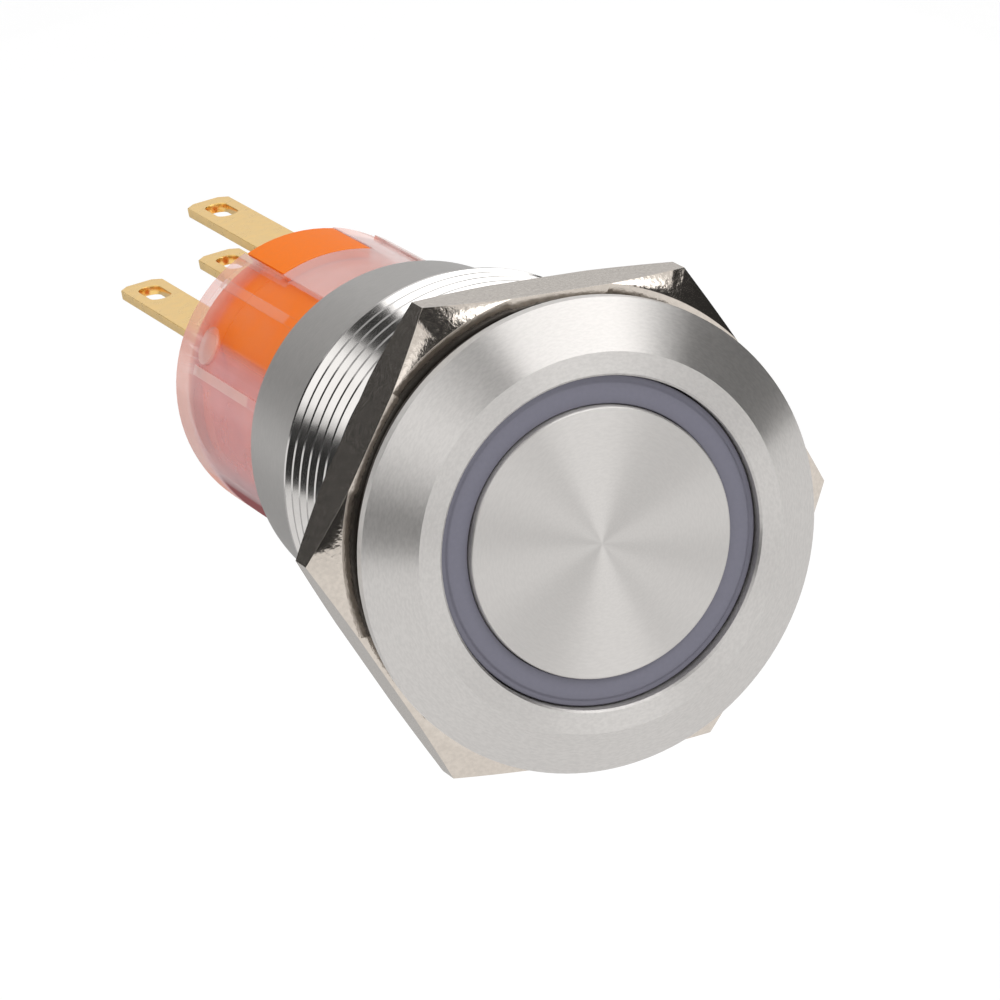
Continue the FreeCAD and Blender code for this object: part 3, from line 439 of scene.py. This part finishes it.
class TurnHousing(bpy.types.Operator):
    """Head, threaded barrel and tail of the stainless housing"""
    bl_idname = "push_button.housing"
    bl_label = "Housing"

    def execute(self, context):
        size = context.scene.barrel_sizes
        steel = tuple(context.scene.finish_colours.steel)
        # Turned, then blasted with fine glass: short marks 0.13 mm wide, drawn twice as coarse as they are,
        # and highlights that spread towards the axis and away from it.
        head = turned_metal("Stainless steel, turned and blasted", steel, roughness=0.35, anisotropy=0.95,
                            length=38.0, width=0.13, bump_height=0.0016)
        # A rolled thread is burnished by its rollers, so its flanks mirror the room.
        thread = bright_metal("Stainless steel, thread-rolled", steel, 0.12, size=1.2)
        # The tail is turned and tumbled to a dull satin, darker than the head.
        dull = tuple(c * 0.66 for c in steel)
        satin = turned_metal("Stainless steel, satin tumbled", dull, roughness=0.44, anisotropy=0.3,
                             length=20.0, width=0.12, bump_height=0.0006)
        # Radii inside, the shoulder between the bores, and the radius where the tail leaves the thread.
        button_bore, shoulder_bore, tail_bore, tail_front = 7.7, 5.38, 7.9, 8.85
        shoulder_front, shoulder_rear = 6.55, 7.75
        underside_edge, neck_edge, lip_edge, land_fall, seam = 0.12, 0.1, 0.1, 0.04, 0.05
        # The thread starts behind a neck, loses its crests over the run-out and meets the tail at the joint.
        pitch = size.thread_pitch
        thread_start, run_out = 0.6, 0.6
        root = size.thread_radius - size.thread_depth
        crest_end = size.thread_end - run_out
        joint = size.thread_end + 0.3
        halfway = (thread_start + joint) / 2
        slope = (size.tail_radius - tail_front) / (size.tail_end - size.thread_end)

        def most(place):
            """Largest radius at this place: over the crests, down the run-out or along the tail."""
            if place > size.thread_end:
                return tail_front + (place - size.thread_end) * slope
            if place > crest_end:
                return size.thread_radius + (place - crest_end) * (tail_front - size.thread_radius) / run_out
            return size.thread_radius

        def open_edges(rear):
            """The boundary edges behind the thread's middle, or in front of it."""
            edges = [edge for edge in bm.edges if edge.is_boundary]
            return [edge for edge in edges if (edge.verts[0].co.y > halfway) == rear]

        bm = bmesh.new()
        start = thread_start - 2 * pitch
        flank = size.thread_depth * math.tan(math.radians(30))
        crest = 0.2 * pitch
        section = [(root, start), (size.thread_radius, start + flank),
                   (size.thread_radius, start + flank + crest), (root, start + 2 * flank + crest),
                   (root, start + pitch)]
        turns = int((joint - start) / pitch) + 3
        bmesh.ops.spin(bm, geom=wire(bm, section, False), cent=(0, 0, 0), axis=(0, 1, 0),
                       angle=2 * math.pi * turns, dvec=(0, pitch / size.steps, 0), steps=size.steps * turns,
                       use_merge=False)
        bmesh.ops.remove_doubles(bm, verts=bm.verts, dist=0.002)
        for place, way, cut_off in ((crest_end, 1, False), (thread_start, -1, True), (joint, 1, True)):
            bmesh.ops.bisect_plane(bm, geom=bm.verts[:] + bm.edges[:] + bm.faces[:], dist=1e-5,
                                   plane_co=(0, place, 0), plane_no=(0, way, 0), clear_outer=cut_off)
        for vert in bm.verts:
            radius = math.hypot(vert.co.x, vert.co.z)
            at_neck = vert.co.y < thread_start + 1e-4
            if at_neck or radius > most(vert.co.y):
                keep = root if at_neck else most(vert.co.y)
                vert.co.x *= keep / radius
                vert.co.z *= keep / radius
        bmesh.ops.remove_doubles(bm, verts=bm.verts, dist=0.002)
        threads = set(bm.faces)
        thread_ends = {rear: open_edges(rear) for rear in (False, True)}
        turned(bm, [
            (root, thread_start - seam), (root, neck_edge / 2), (root + neck_edge, 0),
            (size.head_radius - underside_edge, 0), (size.head_radius, -underside_edge),
            (size.head_radius, HEAD_FRONT + size.bevel_depth), (size.bevel_radius, HEAD_FRONT + land_fall),
            (button_bore + lip_edge, HEAD_FRONT), (button_bore, HEAD_FRONT + lip_edge),
            (button_bore, shoulder_front), (shoulder_bore, shoulder_front),
            (shoulder_bore, shoulder_rear), (tail_bore, shoulder_rear),
            (tail_bore, size.tail_end), (size.tail_radius, size.tail_end),
            (most(joint + seam), joint + seam)], size.steps, closed=False)
        for rear, ends in thread_ends.items():
            rims = [edge for edge in open_edges(rear) if edge not in ends]
            bmesh.ops.bridge_loops(bm, edges=ends + rims)
        for face in bm.faces:
            middle = face.calc_center_median()
            if face in threads:
                face.material_index = 1
            elif math.hypot(middle.x, middle.z) > tail_bore + 0.05 and middle.y > halfway:
                face.material_index = 2
        piece = store(bm, "turned_housing", (head, thread, satin), sharp=25)
        soften(piece, 0.05, angle=28)
        placed(piece, "switch_body", "housing")
        return {"FINISHED"}


class MouldGasket(bpy.types.Operator):
    """Rubber gasket under the head"""
    bl_idname = "push_button.gasket"
    bl_label = "Gasket"

    def execute(self, context):
        # Black nitrile rubber with a dull skin from its mould.
        rubber = moulded("Nitrile rubber, moulded", linear("#1D1814"), 0.45, size=0.3, bump_height=0.006,
                         tint=0.6, specular=0.4)
        inner, outer = 9.5, 10.65
        bm = bmesh.new()
        turned(bm, [(inner, 0), (outer, 0), (outer, GASKET_REAR), (inner, GASKET_REAR)])
        placed(soften(store(bm, "rubber_gasket", (rubber,)), 0.3, segments=4), "switch_body", "panel_gasket")
        return {"FINISHED"}


class CutNut(bpy.types.Operator):
    """Hexagon clamp nut with chamfered corners"""
    bl_idname = "push_button.nut"
    bl_label = "Clamp nut"

    def execute(self, context):
        size = context.scene.nut_sizes
        # Nickel plate over brass with a warm cast, bright enough to mirror the dark cards on the left flat.
        nickel = tuple(context.scene.finish_colours.nickel)
        flats = bright_metal("Nickel plate over drawn flats", nickel, 0.17, size=0.14, bump_height=0.009,
                             tint=0.85)
        # The chamfers are coarse under the plate: each dent of 0.2 mm mirrors another part of the room.
        faces = bright_metal("Nickel plate over coarse chamfers", nickel, 0.11, size=0.2, bump_height=0.009,
                             tint=0.9)
        bore, lead_in, spare, overrun = 9.5, 0.4, 2, 1
        front, rear = GASKET_REAR, GASKET_REAR + size.thickness
        # A turned blank, with spare over the corners, gives the chamfers and the bore.
        blank = size.face_radius + spare
        fall = spare * math.tan(size.chamfer)
        bm = bmesh.new()
        turned(bm, [
            (bore, front + lead_in), (bore + lead_in, front), (size.face_radius, front),
            (blank, front + fall), (blank, rear - fall),
            (size.face_radius, rear), (bore + lead_in, rear), (bore, rear - lead_in)], 180)
        piece = store(bm, "hexagon_nut", (flats, faces))
        # A hexagon bar, which runs over at both ends, cuts the flats.
        turn = Matrix.Rotation(math.radians(30) - size.turn, 4, "Y")
        lay = Matrix.Rotation(math.radians(-90), 4, "X")
        bm = bmesh.new()
        bmesh.ops.create_circle(bm, cap_ends=True, segments=6, radius=size.flats / math.sqrt(3),
                                matrix=Matrix.Translation((0, front - overrun, 0)) @ turn @ lay)
        end = bmesh.ops.extrude_face_region(bm, geom=bm.faces[:])["geom"]
        bmesh.ops.translate(bm, vec=(0, size.thickness + 2 * overrun, 0),
                            verts=[part for part in end if isinstance(part, bmesh.types.BMVert)])
        carve(piece, store(bm, "hexagon_bar", (flats, faces)))
        for face in piece.data.polygons:
            face.material_index = int(abs(face.normal.y) > 0.3)
        soften(piece, 0.13, angle=20)
        placed(piece, "switch_body", "clamp_nut")
        return {"FINISHED"}


class TurnDisc(bpy.types.Operator):
    """Fine turned steel disc in the middle of the button"""
    bl_idname = "push_button.disc"
    bl_label = "Button disc"

    def execute(self, context):
        steel = tuple(context.scene.finish_colours.steel)
        # The disc is faced with a fine feed of 0.1 mm, so its highlights fan out from the middle in a star.
        finish = turned_metal("Stainless steel, fine faced", steel, roughness=0.38, anisotropy=0.95,
                              length=16.0, width=0.1, bump_height=0.0008, tint=0.94)
        front, rear, radius = -2.0, -1.0, 6.28
        stud_radius, stud_end = 1.15, 0.925
        bm = bmesh.new()
        turned(bm, [(0, front), (radius, front), (radius, rear), (stud_radius, rear), (stud_radius, stud_end),
                    (0, stud_end)], closed=False)
        placed(soften(store(bm, "faced_disc", (finish,)), 0.1), "button", "button_disc")
        return {"FINISHED"}


class MouldRing(bpy.types.Operator):
    """Light ring of diffusing plastic with its hollow stem"""
    bl_idname = "push_button.ring"
    bl_label = "Light ring"

    def execute(self, context):
        # Polycarbonate with a smoke-blue diffuser in it, moulded matt, unlit here.
        colours = tuple(context.scene.finish_colours.ring)
        plastic = moulded("Polycarbonate, smoke diffusing", colours, 0.5, size=0.2, bump_height=0.002,
                          tint=0.95)
        # The front face, with an eased rim, and the pocket that holds the disc.
        face, rim, ease, radius, skirt_end = -1.65, 7.37, 0.09, 7.62, 1.55
        pocket, pocket_end, stud_hole = 6.33, -0.95, 1.2
        # The web behind the pocket and the hollow stem.
        web_end, stem_inner, stem_outer, stem_end = 0.45, 4.4, 5.3, 9.15
        bm = bmesh.new()
        turned(bm, [
            (pocket, face), (rim - ease, face), (rim, face + ease), (radius, face + ease),
            (radius, skirt_end), (stem_outer, skirt_end), (stem_outer, stem_end), (stem_inner, stem_end),
            (stem_inner, web_end), (stud_hole, web_end), (stud_hole, pocket_end), (pocket, pocket_end)])
        placed(soften(store(bm, "diffusing_ring", (plastic,)), 0.07), "button", "light_ring")
        return {"FINISHED"}


class MouldCover(bpy.types.Operator):
    """Clear rear cover with its window, ribs and pegs"""
    bl_idname = "push_button.cover"
    bl_label = "Clear cover"

    def execute(self, context):
        size = context.scene.cover_sizes
        # Clear polycarbonate from a polished tool. The rose tone it has from the orange block behind it is
        # painted into its colour.
        colours = tuple(context.scene.finish_colours.clear)
        plastic = clear_plastic("Polycarbonate, clear", colours, size.radius, size.rib_height)
        piece = store(node_copy("clear_cover"), "clear_shell", (plastic,))
        placed(soften(piece, 0.06), "switch_body", "clear_cover")
        return {"FINISHED"}


class WindSprings(bpy.types.Operator):
    """Return spring of the button and the small spring of the slider"""
    bl_idname = "push_button.springs"
    bl_label = "Springs"

    def execute(self, context):
        finish = spring_steel()
        turns, steps, travel = 2, 48, 2.5
        # Each has its mean radius, its wire, its ends along the axis, its height and the sides of its wire.
        for node, mean, thick, start, end, height, sides in (
                ("return_spring", 6.5, 0.6, 1.65, 6.45, 0.0, 16),
                ("slider_spring", 0.6, 0.3, 19.65, 31.25, -1.975, 12)):
            bm = bmesh.new()
            bmesh.ops.create_circle(bm, segments=sides, radius=thick / 2,
                                    matrix=Matrix.Translation((mean, start + thick / 2, 0)))
            rise = (end - start - thick) / (turns * steps)
            bmesh.ops.spin(bm, geom=bm.verts[:] + bm.edges[:], cent=(0, 0, 0), axis=(0, 1, 0),
                           angle=2 * math.pi * turns, dvec=(0, rise, 0), steps=turns * steps, use_merge=False)
            bmesh.ops.holes_fill(bm, edges=[edge for edge in bm.edges if edge.is_boundary], sides=sides)
            bmesh.ops.translate(bm, vec=(0, 0, height), verts=bm.verts)
            piece = placed(store(bm, "wound_" + node, (finish,), sharp=60), "switch_body", node)
            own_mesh(piece)
        return {"FINISHED"}


class FitPieces(bpy.types.Operator):
    """Block, base, tabs, contacts and inner pieces, with softened edges and their finishes"""
    bl_idname = "push_button.fittings"
    bl_label = "Block, tabs and inner pieces"

    def execute(self, context):
        colours = context.scene.finish_colours
        # Glass-free polyamide, moulded with a slight gloss, in a saturated orange.
        orange = moulded("Polyamide, orange moulded", tuple(colours.orange), 0.42, size=0.3,
                         bump_height=0.002, tint=0.97, specular=0.05)
        # Brass strip, punched and flash plated: bright, with faint rolling marks.
        brass = bright_metal("Brass strip, flash plated", tuple(colours.tab), 0.3, size=0.5,
                             bump_height=0.001, tint=0.95)
        for node in ("contact_block", "terminal_base"):
            bm = node_copy(node)
            placed(soften(store(bm, "moulded_" + node, (orange,)), 0.08), "switch_body", node)
        for tab in ("common", "normally_open", "normally_closed", "lamp_plus", "lamp_minus"):
            node = "terminal_" + tab
            bm = node_copy(node)
            placed(soften(store(bm, "punched_" + node, (brass,)), 0.05), "switch_body", node)
        # Inside, out of sight: satin nylon, bright silver and bronze, and a green board with its yellow
        # lamps and its black chip.
        nylon = moulded("Nylon, natural", linear("#E9E6DC"), 0.5)
        silver = bright_metal("Contact silver", linear("#E4E3DF"), 0.2)
        finishes = {
            "plunger": nylon,
            "slider": nylon,
            "retaining_clip": spring_steel(),
            "fixed_contacts": silver,
            "moving_contact": silver,
            "contact_blade": bright_metal("Phosphor bronze, rolled", linear("#C58B5A"), 0.25),
            "led_board": moulded("Circuit board, solder mask", linear("#1E6B3A"), 0.35),
            "leds": moulded("Lamp chip, clear cap", linear("#F2E6A8"), 0.2),
            "lamp_resistor": moulded("Black ceramic chip", linear("#1A1A1C"), 0.5),
        }
        for node, material in finishes.items():
            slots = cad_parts[node].data.materials
            slots.clear()
            slots.append(material)
        return {"FINISHED"}


class SetStage(bpy.types.Operator):
    """Pale floor, white room, cards for the reflections, two soft boxes and the camera"""
    bl_idname = "push_button.stage"
    bl_label = "Stage"

    def execute(self, context):
        scene = context.scene
        floor_height = -60
        bm = bmesh.new()
        bmesh.ops.create_grid(bm, x_segments=1, y_segments=1, size=1500)
        bmesh.ops.translate(bm, vec=(0, 0, floor_height), verts=bm.verts)
        # White card that glows a little for the camera and in reflections, so it is white but keeps a shadow.
        white = (*scene.finish_colours.floor, 1)
        material, tree, shader = new_material("Studio floor, white card", {
            "Base Color": white, "Roughness": 0.9, "Emission Color": white})
        glow = add_node(tree, "ShaderNodeMath", {"operation": "MULTIPLY", 1: 0.76}, i0=seen_rays(tree))
        tree.links.new(glow.outputs[0], shader.inputs["Emission Strength"])
        store(bm, "floor", (material,))

        world = bpy.data.worlds.new("Studio")
        scene.world = world
        world.use_nodes = True
        tree = world.node_tree
        tree.nodes.clear()
        room = add_node(tree, "ShaderNodeBackground", {"Color": (1, 1, 1, 1), "Strength": 1.0})
        soft = add_node(tree, "ShaderNodeBackground", {"Color": (1, 1, 1, 1), "Strength": 0.85})
        mix = add_node(tree, "ShaderNodeMixShader", Fac=seen_rays(tree), i1=soft, i2=room)
        add_node(tree, "ShaderNodeOutputWorld", Surface=mix)

        # Cards round the set, which show only in reflections, as darker bands on the bright metal. Each has
        # its ends in degrees from the front, its edges in degrees above the axis, and its grey.
        distance = 400
        for name, left, right, low, high, grey in (
                ("flag_front_left", -80, -25, -4, 16, 0.04),
                ("flag_front_right", 45, 136, -8, 27, 0.04),
                ("flag_above_camera", -15, 6, 27, 60, 0.04),
                ("flag_back_left", -165, -146, 2, 22, 0.05),
                ("flag_back_right", 138, 175, 3, 15, 0.6),
                ("flag_back", 176, 194, 3, 26, 0.4)):
            bm = bmesh.new()
            heights = [distance * math.tan(math.radians(angle)) for angle in (low, high)]
            ends = [bm.verts.new((0, -distance, height)) for height in heights]
            edge = bm.edges.new(ends)
            turn = Matrix.Rotation(math.radians(left), 3, "Z")
            bmesh.ops.rotate(bm, verts=ends, cent=(0, 0, 0), matrix=turn)
            bmesh.ops.spin(bm, geom=ends + [edge], cent=(0, 0, 0), axis=(0, 0, 1),
                           angle=math.radians(right - left), steps=16, use_merge=False)
            studio_card(bm, name, grey)
        # A grey card just over the floor, behind the switch.
        bm = bmesh.new()
        bmesh.ops.create_grid(bm, x_segments=1, y_segments=1, size=140)
        bmesh.ops.translate(bm, vec=(0, 225, floor_height + 1), verts=bm.verts)
        studio_card(bm, "card_floor_behind", 0.55)

        lamp("Key light", azimuth=33, elevation=39, distance=350, width=290, height=140, brightness=1.9)
        lamp("Fill light", azimuth=-30, elevation=29, distance=350, width=110, height=120, brightness=0.5)

        data = bpy.data.cameras.new("Camera")
        data.lens = 241.775
        data.sensor_width = 36.0
        data.sensor_fit = "HORIZONTAL"
        data.clip_start = 0.01
        data.clip_end = 10.0
        camera = bpy.data.objects.new("Camera", data)
        scene.collection.objects.link(camera)
        scene.camera = camera
        # The view that fits the outlines of the head, the nut, the barrel and the tabs.
        place = Vector((-95.0445, -270.2807, 95.2721)) * MM
        back = Vector((-0.304691, -0.901077, 0.308583))
        up = Vector((0.281331, 0.224388, 0.933007))
        turn = Matrix((up.cross(back), up, back)).transposed().to_4x4()
        camera.matrix_world = Matrix.Translation(place) @ turn
        scene.view_settings.view_transform = "Standard"
        return {"FINISHED"}


class PushButtonPanel(bpy.types.Panel):
    """Lists the pieces of the push button"""
    bl_label = "Push Button"
    bl_idname = "PUSH_BUTTON_PT_pieces"
    bl_space_type = "VIEW_3D"
    bl_region_type = "UI"
    bl_category = "Push Button"

    def draw(self, context):
        for step in STEPS:
            self.layout.operator(step.bl_idname)
        for name, group in GROUPS:
            box = self.layout.box()
            box.label(text=group.__name__)
            for value in group.__annotations__:
                box.prop(getattr(context.scene, name), value)


STEPS = (TurnHousing, MouldGasket, CutNut, TurnDisc, MouldRing, MouldCover, WindSprings, FitPieces, SetStage)
GROUPS = (("barrel_sizes", BarrelSizes), ("nut_sizes", NutSizes), ("cover_sizes", CoverSizes),
          ("finish_colours", FinishColours))


def register():
    for name, group in GROUPS:
        bpy.utils.register_class(group)
        setattr(bpy.types.Scene, name, PointerProperty(type=group))
    for part in STEPS + (PushButtonPanel,):
        bpy.utils.register_class(part)


def unregister():
    for part in reversed(STEPS + (PushButtonPanel,)):
        bpy.utils.unregister_class(part)
    for name, group in reversed(GROUPS):
        delattr(bpy.types.Scene, name)
        bpy.utils.unregister_class(group)


def main():
    register()
    for step in STEPS:
        group, name = step.bl_idname.split(".")
        getattr(getattr(bpy.ops, group), name)()


if __name__ == "__main__":
    main()
